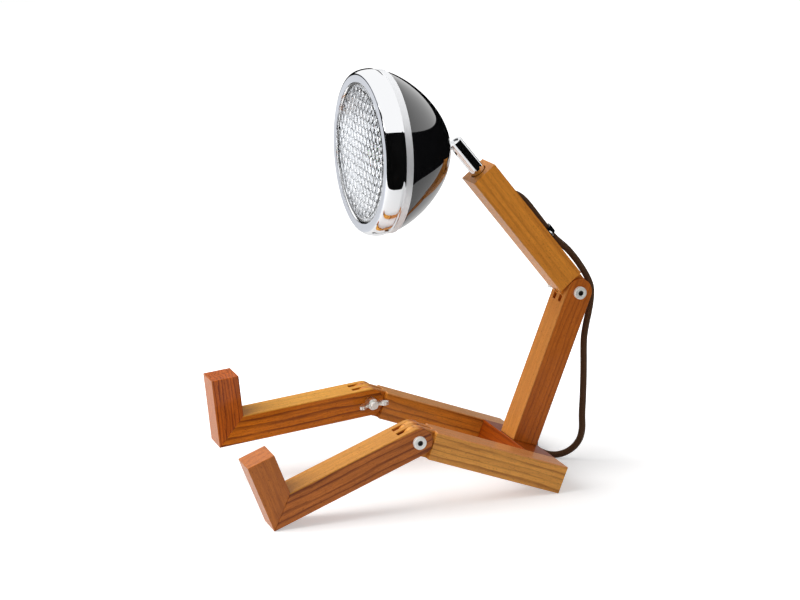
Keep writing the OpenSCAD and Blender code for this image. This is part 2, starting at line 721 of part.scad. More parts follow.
// Four clips that hold reflector, gasket and lens in the bezel
clip_count = 4;
reflector_clip_w = 8;
reflector_clip_t = 1;
reflector_clip_gap = 0.4;
module reflector_clips() {
    reach = bezel_inner_r(flange_back - reflector_clip_t) - reflector_clip_gap;
    color(steel) head_frame() intersection() {
        translate([0, 0, flange_back - reflector_clip_t]) cylinder(r = reach, h = reflector_clip_t, $fn = 128);
        for (i = [0:clip_count - 1]) rotate([0, 0, 45 + 360 * i / clip_count])
            translate([bowl_r + reflector_wall, -reflector_clip_w / 2, 0]) cube([reach, reflector_clip_w, bezel_end]);
    }
}

// Bracket under the stud nut: a step that stands off the dome, and two arms along the bulb holder
module holder_bracket() {
    arm_w = 8;
    arm_x = holder_r + rim_gap;
    arm_top = holder_screw_z + arm_w / 2;
    arm_foot = dome_start + pad_t + bracket_step - bracket_t;
    color(steel) head_frame() difference() {
        union() {
            translate([0, 0, dome_start + pad_t]) cylinder(r = pad_r - 1, h = bracket_step);
            translate([-arm_x - bracket_t, -arm_w / 2, arm_foot]) cube([2 * (arm_x + bracket_t), arm_w, bracket_t]);
            for (x = [-arm_x - bracket_t, arm_x])
                translate([x, -arm_w / 2, arm_foot]) cube([bracket_t, arm_w, arm_top - arm_foot]);
        }
        translate([0, 0, dome_start]) cylinder(r = stud_r + bolt_fit, h = 2 * bracket_step);
        translate([0, 0, holder_screw_z]) rotate([0, 90, 0])
            cylinder(r = holder_screw_r + dowel_fit, h = 3 * arm_x, center = true);
    }
}

holder_screw_r = 1.5;
holder_screw_len = 4;
holder_screw_z = holder_start + 5;
holder_cup = 6;
holder_lead_y = 2;
holder_lead_in = 4;
bulb_gap = 0.2;
module bulb_holder() {
    color("ivory") head_frame() translate([0, 0, holder_start]) difference() {
        cylinder(r = holder_r, h = holder_len);
        translate([0, 0, holder_len - holder_cup]) cylinder(r = bulb_r + 2 * bulb_gap, h = holder_cup + cut);
        for (side = [-1, 1]) translate([side * (holder_r - holder_screw_len), 0, holder_screw_z - holder_start])
            rotate([0, side * 90, 0]) cylinder(r = holder_screw_r + dowel_fit, h = holder_screw_len + cut);
        for (side = [-1, 1]) translate([0, side * holder_lead_y, -cut])
            cylinder(r = lead_r + bulb_gap, h = holder_lead_in + cut);
    }
}

module holder_screws() {
    reach = holder_r + rim_gap + bracket_t;
    end_gap = 0.5;
    head_r = 2.6;
    head_h = 1.6;
    color(steel) head_frame() for (side = [-1, 1])
        translate([side * reach, 0, holder_screw_z]) rotate([0, side * 90, 0]) {
            translate([0, 0, holder_r - holder_screw_len - reach + end_gap])
                cylinder(r = holder_screw_r, h = reach - holder_r + holder_screw_len - end_gap);
            cylinder(r = head_r, h = head_h);
        }
}

module bulb() {
    foot = holder_end - holder_cup + bulb_gap;
    color([0.97, 0.96, 0.90]) head_frame() translate([0, 0, foot]) {
        cylinder(r = bulb_r, h = bulb_len - bulb_r);
        translate([0, 0, bulb_len - bulb_r]) sphere(r = bulb_r);
    }
}

module head_leads() {
    color("white") head_frame() for (side = [-1, 1])
        sweep([[0, side * lead_y, ball_r - 1], [0, side * lead_y, stud_end], [0, side * 1.2, stud_end + 1.2],
               [0, side * 1.8, holder_start - 1.2], [0, side * holder_lead_y, holder_start],
               [0, side * holder_lead_y, holder_start + 3]], lead_r, lead_sides);
}

// Tube of a given radius along a list of points, as one closed solid
function unit(v) = v / norm(v);
function heading(points, i) = unit(points[min(i + 1, len(points) - 1)] - points[max(i - 1, 0)]);
function start_side(d) = unit(cross(d, abs(d[1]) < 0.9 ? [0, 1, 0] : [1, 0, 0]));
function sides_along(points, i, side) = i == len(points) ? [] :
    let (d = heading(points, i), s = unit(side - (side * d) * d)) concat([s], sides_along(points, i + 1, s));
module sweep(points, r, count) {
    side = sides_along(points, 0, start_side(heading(points, 0)));
    rings = [for (i = [0:len(points) - 1]) let (d = heading(points, i), s = side[i], t = cross(d, s))
        for (k = [0:count - 1]) points[i] + r * cos(360 * k / count) * s + r * sin(360 * k / count) * t];
    walls = [for (i = [0:len(points) - 2]) for (k = [0:count - 1])
        let (a = i * count + k, b = i * count + (k + 1) % count) each [[a, a + count, b + count], [a, b + count, b]]];
    last = (len(points) - 1) * count;
    ends = [[for (k = [0:count - 1]) k], [for (k = [count - 1:-1:0]) last + k]];
    polyhedron(rings, concat(walls, ends));
}

module cord(points) color(cord_brown) sweep(points, cord_r, cord_sides);
module cord_arm() cord(route_arm);
module cord_elbow() cord(route_elbow);
module cord_hang() cord(route_hang);
module cord_run() cord(route_run);
module cord_tail() cord(route_tail);

module cord_coil() {
    color(cord_brown) translate(coil_centre) difference() {
        cylinder(r = coil_out, h = coil_h);
        translate([0, 0, -cut]) cylinder(r = coil_in, h = coil_h + 2 * cut);
    }
}

// Tie round one side of the coil
module coil_tie() {
    tie_w = 9;
    tie_t = 0.8;
    slack = 0.6;
    tie_at = 315;
    reach = (coil_out - coil_in) / 2 + slack;
    color(black) translate(coil_centre) rotate([0, 0, tie_at]) translate([coil_r, 0, 0]) rotate([90, 0, 0])
        linear_extrude(tie_w, center = true) difference() {
            translate([-reach - tie_t, 0]) square([2 * (reach + tie_t), coil_h + slack + tie_t]);
            translate([-reach, -cut]) square([2 * reach, coil_h + slack + cut]);
        }
}

// Inline switch, with its length along X and its middle at the origin
module switch_frame() translate(switch_place) rotate([0, 0, switch_heading]) children();
module stadium(length, width, r) {
    square([length - 2 * r, width], center = true);
    square([length, width - 2 * r], center = true);
    for (x = [-1, 1], y = [-1, 1]) translate([x * (length / 2 - r), y * (width / 2 - r)]) circle(r = r);
}
switch_corner = 6;
split_z = switch_h / 2;
switch_inner_corner = switch_corner - switch_wall;
cord_fit = 0.1;
module switch_cord_holes() {
    translate([0, 0, cord_height]) rotate([0, 90, 0])
        cylinder(r = cord_r + cord_fit, h = switch_len + 2 * cut, center = true);
}
switch_screw_r = 1.3;
switch_post_r = 2.8;
switch_post_x = 11;
switch_head_r = 2.2;
switch_head_t = 1.4;
switch_head_at = 0.2;
module switch_screw_places() {
    for (side = [-1, 1])
        translate([side * (switch_len / 2 - switch_post_x), side * (switch_w / 2 - switch_post_r - 1.2), 0]) children();
}
module switch_base() {
    color(black) switch_frame() difference() {
        union() {
            difference() {
                linear_extrude(split_z) stadium(switch_len, switch_w, switch_corner);
                translate([0, 0, switch_wall]) linear_extrude(split_z)
                    stadium(switch_len - 2 * switch_wall, switch_w - 2 * switch_wall, switch_inner_corner);
            }
            switch_screw_places() cylinder(r = switch_post_r, h = split_z);
        }
        switch_cord_holes();
        switch_screw_places() {
            translate([0, 0, -cut]) cylinder(r = switch_screw_r + dowel_fit, h = switch_h);
            translate([0, 0, -cut]) cylinder(r = switch_head_r + 2 * cord_fit, h = switch_head_at + switch_head_t + cut);
        }
    }
}

rocker_gap = 0.4;
rocker_pin_r = 1;
rocker_pin_in = 1;
rocker_tilt = 6;
rocker_z = switch_h - 2.6;
bearing_t = 1.8;
bearing_w = 8;
bearing_h = 4;
bearing_below = 2.4;
bearing_y = (rocker_w + bearing_t) / 2 + rocker_gap;
post_gap = 0.5;
module switch_cover() {
    color(black) switch_frame() difference() {
        union() {
            difference() {
                translate([0, 0, split_z]) linear_extrude(switch_h - split_z)
                    stadium(switch_len, switch_w, switch_corner);
                translate([0, 0, split_z - 1]) linear_extrude(switch_h - split_z - switch_wall + 1)
                    stadium(switch_len - 2 * switch_wall, switch_w - 2 * switch_wall, switch_inner_corner);
            }
            for (side = [-1, 1])
                translate([-bearing_w / 2, side * bearing_y - bearing_t / 2, rocker_z - bearing_below])
                    cube([bearing_w, bearing_t, bearing_h]);
            switch_screw_places() translate([0, 0, split_z])
                cylinder(r = switch_post_r, h = switch_h - split_z - post_gap);
        }
        switch_cord_holes();
        translate([-rocker_len / 2 - rocker_gap, -rocker_w / 2 - rocker_gap, split_z])
            cube([rocker_len + 2 * rocker_gap, rocker_w + 2 * rocker_gap, switch_h]);
        translate([0, 0, rocker_z])
            cross_rod(rocker_pin_r + bolt_fit, rocker_w + 2 * (rocker_gap + rocker_pin_in + post_gap));
        switch_screw_places() cylinder(r = switch_screw_r + dowel_fit, h = switch_h - 3 * cut);
    }
}

module switch_screws() {
    color(steel) switch_frame() switch_screw_places() translate([0, 0, switch_head_at]) {
        cylinder(r = switch_head_r, h = switch_head_t);
        cylinder(r = switch_screw_r, h = switch_h - 4 * cut);
    }
}

// Rocker: a curved cap that turns on two short pins
module switch_rocker() {
    cap_r = 26;
    cap_low = 2;
    cap_high = 1.8;
    end_cut = [2.4, rocker_w + 2 * cut, 7];
    end_lean = 18;
    color([0.12, 0.12, 0.13]) switch_frame() translate([0, 0, rocker_z]) rotate([0, -rocker_tilt, 0]) {
        cross_rod(rocker_pin_r, rocker_w + 2 * (rocker_gap + rocker_pin_in));
        difference() {
            translate([rim_gap - rocker_len / 2, -rocker_w / 2, -cap_low]) cube([rocker_len - 2 * rim_gap, rocker_w, 5]);
            translate([0, 0, cap_r + cap_high]) cross_rod(cap_r, rocker_w + 2 * cut);
            for (side = [-1, 1]) translate([side * (rocker_len / 2 + rim_gap), 0, -1.4 * cap_low])
                rotate([0, side * end_lean, 0]) cube(end_cut, center = true);
        }
    }
}

// Two-pin plug that lies on the table, with its pins along -X
pin_shank_r = 1.5;
pin_shank_len = 7.5;
pin_end_gap = 0.5;
relief_wall = 1.2;
module plug_frame() translate(plug_place) mirror([1, 0, 0]) children();
module plug_relief() {
    color(black) plug_frame() translate([0, 0, plug_h / 2]) rotate([0, 90, 0]) difference() {
        cylinder(r1 = cord_r + relief_wall, r2 = plug_h / 2 - relief_wall / 2, h = relief_len);
        translate([0, 0, -cut]) cylinder(r = cord_r + cord_fit, h = relief_len - 5 * cut);
    }
}
module plug_body() {
    taper = 9;
    color(black) plug_frame() translate([relief_len, 0, 0]) difference() {
        linear_extrude(plug_h) polygon([[0, -plug_w / 2 + taper], [taper, -plug_w / 2], [plug_len, -plug_w / 2],
            [plug_len, plug_w / 2], [taper, plug_w / 2], [0, plug_w / 2 - taper]]);
        for (side = [-1, 1]) translate([plug_len - pin_shank_len - pin_end_gap, side * pin_pitch / 2, plug_h / 2])
            rotate([0, 90, 0]) cylinder(r = pin_shank_r + dowel_fit, h = pin_shank_len + pin_end_gap + cut);
    }
}
module plug_pins() {
    color([0.80, 0.72, 0.45]) plug_frame() for (side = [-1, 1])
        translate([relief_len + plug_len, side * pin_pitch / 2, plug_h / 2]) rotate([0, 90, 0]) {
            translate([0, 0, -pin_shank_len]) cylinder(r = pin_shank_r, h = pin_shank_len + cut);
            cylinder(r = pin_r, h = pin_len - pin_r);
            translate([0, 0, pin_len - pin_r]) sphere(r = pin_r);
        }
}

left_thigh();
right_thigh();
hip_block();
torso_bar();
hip_dowels();
torso_screws();
elbow_bolt();
elbow_wing_nut();
left_shin();
left_foot();
left_foot_dowels();
left_knee_bolt();
left_wing_nut();
right_shin();
right_foot();
right_foot_dowels();
right_knee_bolt();
right_wing_nut();
upper_arm();
neck_bush();
cord_clip();
clip_screw();
neck_tube();
neck_plug();
neck_spring();
ball_seat();
neck_leads();
ball_stud();
stud_nut();
lamp_shell();
bezel_ring();
lens();
lens_gasket();
reflector();
reflector_clips();
holder_bracket();
bulb_holder();
holder_screws();
bulb();
head_leads();
cord_arm();
cord_elbow();
cord_hang();
cord_run();
cord_coil();
cord_tail();
coil_tie();
switch_base();
switch_cover();
switch_screws();
switch_rocker();
plug_body();
plug_relief();
plug_pins();
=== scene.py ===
"""Desk lamp in the shape of a seated robot: oiled wooden bars, chrome neck, black lamp head and textile cord.

Metres. +Z is up, the lamp looks along -X, and its left leg is on the -Y side."""
import json
import math

import bmesh
import bpy
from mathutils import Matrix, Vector

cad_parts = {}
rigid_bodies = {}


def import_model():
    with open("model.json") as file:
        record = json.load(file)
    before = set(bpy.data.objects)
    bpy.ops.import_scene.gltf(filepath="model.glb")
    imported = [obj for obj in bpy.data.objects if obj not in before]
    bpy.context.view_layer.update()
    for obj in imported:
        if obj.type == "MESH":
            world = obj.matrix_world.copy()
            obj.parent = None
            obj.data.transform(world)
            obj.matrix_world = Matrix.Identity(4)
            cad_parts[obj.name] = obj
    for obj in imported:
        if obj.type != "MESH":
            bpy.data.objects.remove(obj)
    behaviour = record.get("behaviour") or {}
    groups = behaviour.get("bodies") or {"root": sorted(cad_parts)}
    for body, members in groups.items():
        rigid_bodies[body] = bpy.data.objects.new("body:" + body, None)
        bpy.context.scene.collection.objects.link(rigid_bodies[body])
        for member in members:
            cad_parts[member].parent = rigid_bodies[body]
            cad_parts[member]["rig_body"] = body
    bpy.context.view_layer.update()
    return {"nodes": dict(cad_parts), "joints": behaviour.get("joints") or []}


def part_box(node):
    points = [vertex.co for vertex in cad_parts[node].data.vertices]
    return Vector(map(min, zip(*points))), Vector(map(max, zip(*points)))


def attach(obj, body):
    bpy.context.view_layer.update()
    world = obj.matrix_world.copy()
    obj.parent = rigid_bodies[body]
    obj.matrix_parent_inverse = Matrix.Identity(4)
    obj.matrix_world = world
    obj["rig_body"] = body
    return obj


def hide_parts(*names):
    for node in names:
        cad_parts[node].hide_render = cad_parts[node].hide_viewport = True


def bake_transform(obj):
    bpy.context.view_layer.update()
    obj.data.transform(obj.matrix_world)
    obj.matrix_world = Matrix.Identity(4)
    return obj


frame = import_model()


# ---------------------------------------------------------------- Camera
# The lamp is seen from its left front corner and from a little above, through a long lens, so that
# its bars stay nearly parallel.
MM = 0.001
look_at = Vector((-8.1, 0, 169.6)) * MM
look_yaw = math.radians(20.72)
look_down = math.radians(14.62)
look_distance = 1773.7 * MM

camera_data = bpy.data.cameras.new("camera")
camera_data.sensor_width = 36
camera_data.lens = 91.26
camera = bpy.data.objects.new("camera", camera_data)
look = Vector((math.sin(look_yaw) * math.cos(look_down), math.cos(look_yaw) * math.cos(look_down),
               -math.sin(look_down)))
camera.location = look_at - look * look_distance
camera.rotation_euler = (math.pi / 2 - look_down, 0, -look_yaw)
bpy.context.scene.collection.objects.link(camera)
bpy.context.scene.camera = camera
bpy.context.scene.view_settings.view_transform = "Standard"


# ---------------------------------------------------------------- Finishes
# Every finish below is one Principled shader. Wire wraps an output of a node, and sums on wires add
# their Math nodes; Finish.add() puts in any other node.
class Wire:
    def __init__(self, finish, socket):
        self.finish = finish
        self.socket = socket

    def maths(self, operation, *values):
        return self.finish.add("ShaderNodeMath", {"operation": operation}, dict(enumerate(values)))

    def __add__(self, other):
        return self.maths("ADD", self, other)

    __radd__ = __add__

    def __sub__(self, other):
        return self.maths("SUBTRACT", self, other)

    def __rsub__(self, other):
        return self.maths("SUBTRACT", other, self)

    def __mul__(self, other):
        return self.maths("MULTIPLY", self, other)

    __rmul__ = __mul__

    def __truediv__(self, other):
        return self.maths("DIVIDE", self, other)

    def __pow__(self, other):
        return self.maths("POWER", self, other)

    def __lt__(self, other):
        return self.maths("LESS_THAN", self, other)

    def __gt__(self, other):
        return self.maths("GREATER_THAN", self, other)

    def __abs__(self):
        return self.maths("ABSOLUTE", self)

    def sin(self):
        return self.maths("SINE", self)

    def floor(self):
        return self.maths("FLOOR", self)

    def fraction(self):
        return self.maths("FRACT", self)

    def or_more(self, other):
        return self.maths("MAXIMUM", self, other)

    def ramp(self, low, high, start=0, end=1):
        """This value carried from low..high to start..end, smoothly and without going past them."""
        settings = {"interpolation_type": "SMOOTHSTEP", "clamp": True}
        return self.finish.add("ShaderNodeMapRange", settings, {0: self, 1: low, 2: high, 3: start, 4: end})


def paint(*levels):
    """A colour from its levels of 0 to 255 on a screen."""
    return tuple(((level / 255 + 0.055) / 1.055) ** 2.4 for level in levels)


class Finish:
    def __init__(self, name, **sockets):
        self.material = bpy.data.materials.new(name)
        self.material.use_nodes = True
        self.tree = self.material.node_tree
        self.shader = self.tree.nodes["Principled BSDF"]
        for socket, value in sockets.items():
            self.put(socket.replace("_", " "), value)

    def put(self, socket, value):
        """Sets a socket of the shader to a number, a colour or a wire."""
        self.feed(self.shader.inputs[socket], value)

    def feed(self, entry, value):
        if isinstance(value, Wire):
            self.tree.links.new(value.socket, entry)
        elif entry.type == "RGBA" and len(value) == 3:
            entry.default_value = (*value, 1)
        else:
            entry.default_value = value

    def add(self, kind, settings=None, sockets=None, output=0):
        node = self.tree.nodes.new(kind)
        for name, value in (settings or {}).items():
            setattr(node, name, value)
        for name, value in (sockets or {}).items():
            self.feed(node.inputs[name], value)
        return Wire(self, node.outputs[output])

    def mix(self, factor, first, second):
        """Two colours mixed by a factor."""
        return self.add("ShaderNodeMix", {"data_type": "RGBA"}, {0: factor, 6: first, 7: second}, 2)

    def place(self, centre=(0, 0, 0), turn=(0, 0, 0), scale=(1, 1, 1)):
        """Object coordinates seen from a frame with its own centre, turn and unit lengths."""
        place = self.add("ShaderNodeTexCoord", output="Object")
        sockets = {"Vector": place, "Location": centre, "Rotation": turn, "Scale": scale}
        return self.add("ShaderNodeMapping", {"vector_type": "TEXTURE"}, sockets)

    def parts(self, vector):
        """The three numbers of a vector."""
        split = self.add("ShaderNodeSeparateXYZ", {}, {0: vector}).socket.node
        return [Wire(self, socket) for socket in split.outputs]

    def noise(self, place, scale, detail=3, roughness=0.5):
        sockets = {"Vector": place, "Scale": scale, "Detail": detail, "Roughness": roughness}
        return self.add("ShaderNodeTexNoise", {}, sockets)

    def bump(self, height, depth):
        """Bends the surface by a height of 0 to 1 that stands for a depth in metres."""
        sockets = {"Height": height, "Distance": depth, "Strength": 1}
        self.put("Normal", self.add("ShaderNodeBump", {}, sockets))


# ---------------------------------------------------------------- Table and studio
# A white table top that runs out of sight, and large soft lamps. The table has a glow of its own, which
# grows with the distance from the lamp: seen by eye it leaves the lamp's shadow and ends as white as
# the sky, and in mirrors it starts farther out.
table_half = 4
shadow_reach = 0.14
white_from = 0.4
glow_in_shadow = 0.4
mirrored_from = 0.9
mirrored_to = 2.4
mirrored_near = 0.07
mirrored_far = 0.5
floor = bpy.data.objects.new("floor", bpy.data.meshes.new("floor"))
plane = bmesh.new()
bmesh.ops.create_grid(plane, x_segments=1, y_segments=1, size=table_half)
plane.to_mesh(floor.data)
plane.free()
bpy.context.scene.collection.objects.link(floor)

table_white = Finish("table_white", Base_Color=(0.8, 0.8, 0.8), Roughness=0.9, Specular_IOR_Level=0)
rays = table_white.tree.nodes.new("ShaderNodeLightPath")
seen, mirrored, through_glass = [Wire(table_white, rays.outputs[f"Is {kind} Ray"])
                                 for kind in ("Camera", "Glossy", "Transmission")]
table_x, table_y, _ = table_white.parts(table_white.place())
table_far = (table_x ** 2 + table_y ** 2) ** 0.5
glow_seen = table_far.ramp(shadow_reach, white_from, glow_in_shadow, 1)
glow_mirrored = table_far.ramp(mirrored_from, mirrored_to, mirrored_near, mirrored_far)
table_shine = glow_seen * (seen + through_glass) + glow_mirrored * mirrored
table_glow = table_white.add("ShaderNodeEmission", {}, {"Color": (1, 1, 1), "Strength": table_shine})
table_paint = Wire(table_white, table_white.shader.outputs[0])
table_sum = table_white.add("ShaderNodeAddShader", {}, {0: table_paint, 1: table_glow})
table_white.feed(table_white.tree.nodes["Material Output"].inputs["Surface"], table_sum)
floor.data.materials.append(table_white.material)

sky_dim = 0.35
world = bpy.data.worlds.new("studio")
bpy.context.scene.world = world
world.use_nodes = True
sky = world.node_tree
sky_rays = sky.nodes.new("ShaderNodeLightPath")
sky_strength = sky.nodes["Background"].inputs["Strength"]
for ray in ("Is Camera Ray", "Is Glossy Ray", "Is Transmission Ray"):
    brighter = sky.nodes.new("ShaderNodeMath")
    brighter.operation = "MULTIPLY_ADD"
    brighter.inputs[1].default_value = 1 - sky_dim
    sky.links.new(sky_rays.outputs[ray], brighter.inputs[0])
    sky.links.new(brighter.outputs[0], sky_strength)
    sky_strength = brighter.inputs[2]
sky_strength.default_value = sky_dim
sky.nodes["Background"].inputs["Color"].default_value = (1, 1, 1, 1)


def soft_lamp(name, place, width, height, watts, towards=(0, 0, 0.15)):
    """A rectangular area lamp that faces a point."""
    data = bpy.data.lights.new(name, "AREA")
    data.shape = "RECTANGLE"
    data.size = width
    data.size_y = height
    data.energy = watts
    lamp = bpy.data.objects.new(name, data)
    lamp.location = place
    lamp.rotation_euler = (Vector(towards) - Vector(place)).to_track_quat("-Z", "Y").to_euler()
    bpy.context.scene.collection.objects.link(lamp)
    return lamp


# A black curtain stands round the table, taller at the back and farther away on the left. Only
# reflections show it, as the dark line of the studio's horizon.
curtain_black = Finish("curtain_black", Base_Color=(0.004, 0.004, 0.004), Roughness=1, Specular_IOR_Level=0)
curtain_low = 0.55
curtain_tall = 0.82
tall_from = math.radians(35)
tall_to = math.radians(75)
left_from = math.radians(94)
left_to = math.radians(150)


def hang_curtain(name, radius, centre_y, on_left):
    """A stretch of a round wall: the part on the lamp's left, or all the rest."""
    wall = bmesh.new()
    bmesh.ops.create_cone(wall, cap_ends=False, segments=128, radius1=radius, radius2=radius, depth=1)
    bmesh.ops.translate(wall, verts=wall.verts, vec=(0, centre_y, 0.5))
    for vert in wall.verts:
        part = (math.atan2(vert.co.y, vert.co.x) - tall_from) / (tall_to - tall_from)
        vert.co.z *= curtain_low + (curtain_tall - curtain_low) * min(max(part, 0), 1)
    away = []
    for face in wall.faces:
        centre = face.calc_center_median()
        if (left_from < math.atan2(centre.y, centre.x) < left_to) != on_left:
            away.append(face)
    bmesh.ops.delete(wall, geom=away, context="FACES")
    curtain = bpy.data.objects.new(name, bpy.data.meshes.new(name))
    wall.to_mesh(curtain.data)
    wall.free()
    bpy.context.scene.collection.objects.link(curtain)
    for ray in ("camera", "diffuse", "transmission", "volume_scatter", "shadow"):
        setattr(curtain, "visible_" + ray, False)
    curtain.data.materials.append(curtain_black.material)


hang_curtain("curtain", radius=1.18, centre_y=0.8, on_left=False)
hang_curtain("left_curtain", radius=2.7, centre_y=0, on_left=True)
top_lamp = soft_lamp("top_lamp", (-1.1, 0.05, 1.35), width=1.3, height=1.3, watts=22)
soft_lamp("front_lamp", (-1.7, 0.2, 0.6), width=0.9, height=1.0, watts=14)
soft_lamp("side_lamp", (0.2, -1.7, 0.8), width=1.2, height=1.0, watts=1.5)

# The top lamp would burn out the chrome and the lens, so they don't mirror it.
top_lamp.visible_glossy = False
top_lamp.visible_transmission = False


# ---------------------------------------------------------------- Cord
# One textile cord of 6.2 mm. It leaves the back of the upper arm, runs through a clip and past the
# elbow, hangs down behind the torso to an inline switch, and then lies in a coil of six turns that
# ends in the plug.
cord_diameter = 6.2 * MM
cord_radius = cord_diameter / 2
route_arm = [(81, 0, 262.6), (89, 0, 259.4), (96.9, 0, 257.5), (101.5, 0, 255.9), (105.9, 0, 253.3),
             (110, 0, 249.6), (114.2, 0, 244.9), (120.1, 0, 237.5), (126.9, 0, 228.9), (133.2, 0, 221.1),
             (138.4, 0, 215)]
route_elbow = [(143.1, 0, 210.5), (148.2, 0, 206.2), (153.3, 0, 201.4), (158.6, 0, 195.4), (163.8, 0, 188.7),
               (168.7, 0, 181.6), (172.9, 0, 174.5), (176.1, 0, 167), (177.1, 0, 160), (176.7, 0, 151.8),
               (175.4, 0, 143), (173.2, 0, 132), (171.3, 0, 120)]
route_hang = [(171, 0, 110), (171.4, 0, 94), (171.6, 0, 78), (171.4, 0, 60), (171, 0, 45),
              (171.2, -0.3, 30.8), (169.3, 0.6, 20.8), (165, 3.4, 12.7), (159, 7.5, 6.9), (152.3, 12.4, 3.7),
              (145.9, 18, 3.1), (140.7, 24.2, 4.5), (137.3, 30.8, 6.5), (135.7, 37.1, 7.5)]
route_run = [(130.3, 88.9, 7.5), (129.4, 96, 6.4), (128.2, 104, 4.3), (126.8, 111.5, 3.2), (124.6, 119, 3.1),
             (121.4, 126.6, 3.1), (117.2, 133.6, 3.1), (112.2, 139.8, 3.1)]
route_tail = [(100.3, 151.6, 9.2), (93.5, 159.5, 7.8), (86, 168.5, 5.3), (77.5, 177.5, 3.6), (67, 186, 3.2),
              (56, 193.5, 3.6), (45.5, 199.2, 4.8), (34.7, 202.9, 6.2), (24, 204, 6.85)]
coil_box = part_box("cord_coil")
coil_centre = (coil_box[0] + coil_box[1]) / 2
coil_out = (coil_box[1].x - coil_box[0].x) / 2 - cord_radius
coil_start = math.radians(45)
coil_layer_turns = 3
turn_steps = 30
line_step = 1.2 * MM


def smooth_step(value):
    value = min(max(value, 0), 1)
    return value * value * (3 - 2 * value)


def coil_point(turn):
    """A point of the coil after a number of turns: in through the lower layer, out through the upper one.

    Each turn ends with a shift of one diameter, and the climb to the upper layer dips inwards."""
    shift_from = 0.5
    dip = 2.6 * MM
    whole = min(int(turn), 2 * coil_layer_turns - 1)
    part = smooth_step((turn - whole - shift_from) / (1 - shift_from))
    last = coil_layer_turns - 1
    if whole < last:
        inward, lift, climb_dip = whole + part, 0, 0
    elif whole == last:
        inward, lift, climb_dip = last, part, dip * math.sin(math.pi * part)
    elif whole < 2 * coil_layer_turns - 1:
        inward, lift, climb_dip = 2 * coil_layer_turns - 1 - whole - part, 1, 0
    else:
        inward, lift, climb_dip = 0, 1, 0
    radius = coil_out - inward * cord_diameter - climb_dip
    angle = coil_start + 2 * math.pi * turn
    return Vector((coil_centre.x + radius * math.cos(angle), coil_centre.y + radius * math.sin(angle),
                   cord_radius + lift * cord_diameter))


def smooth_line(points):
    """A smooth curve through the points, as points about a line_step apart."""
    line = []
    for i in range(len(points) - 1):
        before, start, end, after = (points[min(max(i + k, 0), len(points) - 1)] for k in (-1, 0, 1, 2))
        count = max(1, round((end - start).length / line_step))
        for k in range(count):
            t = k / count
            line.append(0.5 * (2 * start + (end - before) * t
                               + (2 * before - 5 * start + 4 * end - after) * t * t
                               + (3 * start - before - 3 * end + after) * t ** 3))
    return line + [points[-1]]


def line_length(line):
    return sum((b - a).length for a, b in zip(line, line[1:]))


def tube(name, line, radius, sides=24):
    """A round tube along a line, with a UV map in metres: round the tube and along it."""
    curve = bpy.data.curves.new(name, "CURVE")
    curve.dimensions = "3D"
    curve.bevel_depth = radius
    curve.bevel_resolution = sides // 4 - 2
    curve.use_fill_caps = True
    spline = curve.splines.new("POLY")
    spline.points.add(len(line) - 1)
    for point, place in zip(spline.points, line):
        point.co = (*place, 1)
    shape = bpy.data.objects.new(name, curve)
    bpy.context.scene.collection.objects.link(shape)
    bpy.context.view_layer.update()
    mesh = bpy.data.meshes.new_from_object(shape.evaluated_get(bpy.context.evaluated_depsgraph_get()))
    bpy.data.objects.remove(shape)
    mesh.name = name
    long = line_length(line)
    for loop in mesh.uv_layers[0].data:
        loop.uv = (loop.uv[0] * long, loop.uv[1] * 2 * math.pi * radius)
    piece = bpy.data.objects.new(name, mesh)
    bpy.context.scene.collection.objects.link(piece)
    for face in mesh.polygons:
        face.use_smooth = True
    return piece


def braid_finish():
    """Dark brown braid: strands of 0.9 mm wind both ways round the cord and pass over and under; their crests
    are painted lighter and their grooves darker, as painted highlight and shade.
    """
    strand = 0.9 * MM
    finish = Finish("brown_textile", Roughness=0.85, Specular_IOR_Level=0.25, Sheen_Weight=0.1,
                    Sheen_Roughness=0.5)
    along, round_it, _ = finish.parts(finish.add("ShaderNodeUVMap"))
    right = (along + round_it) / (2 * strand)
    left = (along - round_it) / (2 * strand)
    ribs = [abs((way * math.pi).sin()) for way in (right, left)]
    over = ((right.floor() + left.floor()) / 2).fraction() > 0.25
    height = ribs[0] * over + ribs[1] * (1 - over)
    fluff = finish.noise(finish.place(), 2500, 2)
    # Painted highlight and shade: each strand is painted light on its crest and dark in its grooves, and the
    # fluff varies the tone.
    painted_strand_shade_and_fluff = height.ramp(0, 1, 0, 0.8) * (0.7 + 0.6 * fluff)
    finish.put("Base Color", finish.mix(painted_strand_shade_and_fluff, (0.02, 0.008, 0.003), (0.165, 0.076, 0.03)))
    finish.bump(height + 0.3 * fluff, 0.22 * MM)
    return finish


brown_textile = braid_finish()
upper_line = smooth_line([Vector(p) * MM for p in route_arm + route_elbow + route_hang])
coil_points = [coil_point(i / turn_steps) for i in range(2 * coil_layer_turns * turn_steps + 1)]
lower_line = smooth_line([Vector(p) * MM for p in route_run] + coil_points
                         + [Vector(p) * MM for p in route_tail])
cord_to_switch = tube("cord_to_switch", upper_line, cord_radius)
cord_to_plug = tube("cord_to_plug", lower_line, cord_radius)
for piece in (cord_to_switch, cord_to_plug):
    piece.data.materials.append(brown_textile.material)
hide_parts("cord_arm", "cord_elbow", "cord_hang")
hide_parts("cord_run", "cord_coil", "cord_tail")
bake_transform(cord_to_switch)
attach(cord_to_plug, "root")


# ---------------------------------------------------------------- Wooden bars
# Nine planed bars of oiled hardwood. They turn on each other with fingers round the joint bolts, and are
# glued at the hip and the heels. Each is a copy of its solid with its outer corners slightly eased.
thigh_tilt = math.radians(20.7)
right_drop = math.radians(5.7)
left_drop = math.radians(21.01)
arm_lean = math.radians(39.3)
upright = math.pi / 2
bar_half = 12.5 * MM
bar_corner = 0.45 * MM
heel_from_knee = 131.5 * MM
nodes = frame["nodes"]
joints = {joint["name"]: joint for joint in frame["joints"]}


def pivot(joint):
    """The point that a joint turns about."""
    return Vector(joints[joint]["pos_m"])


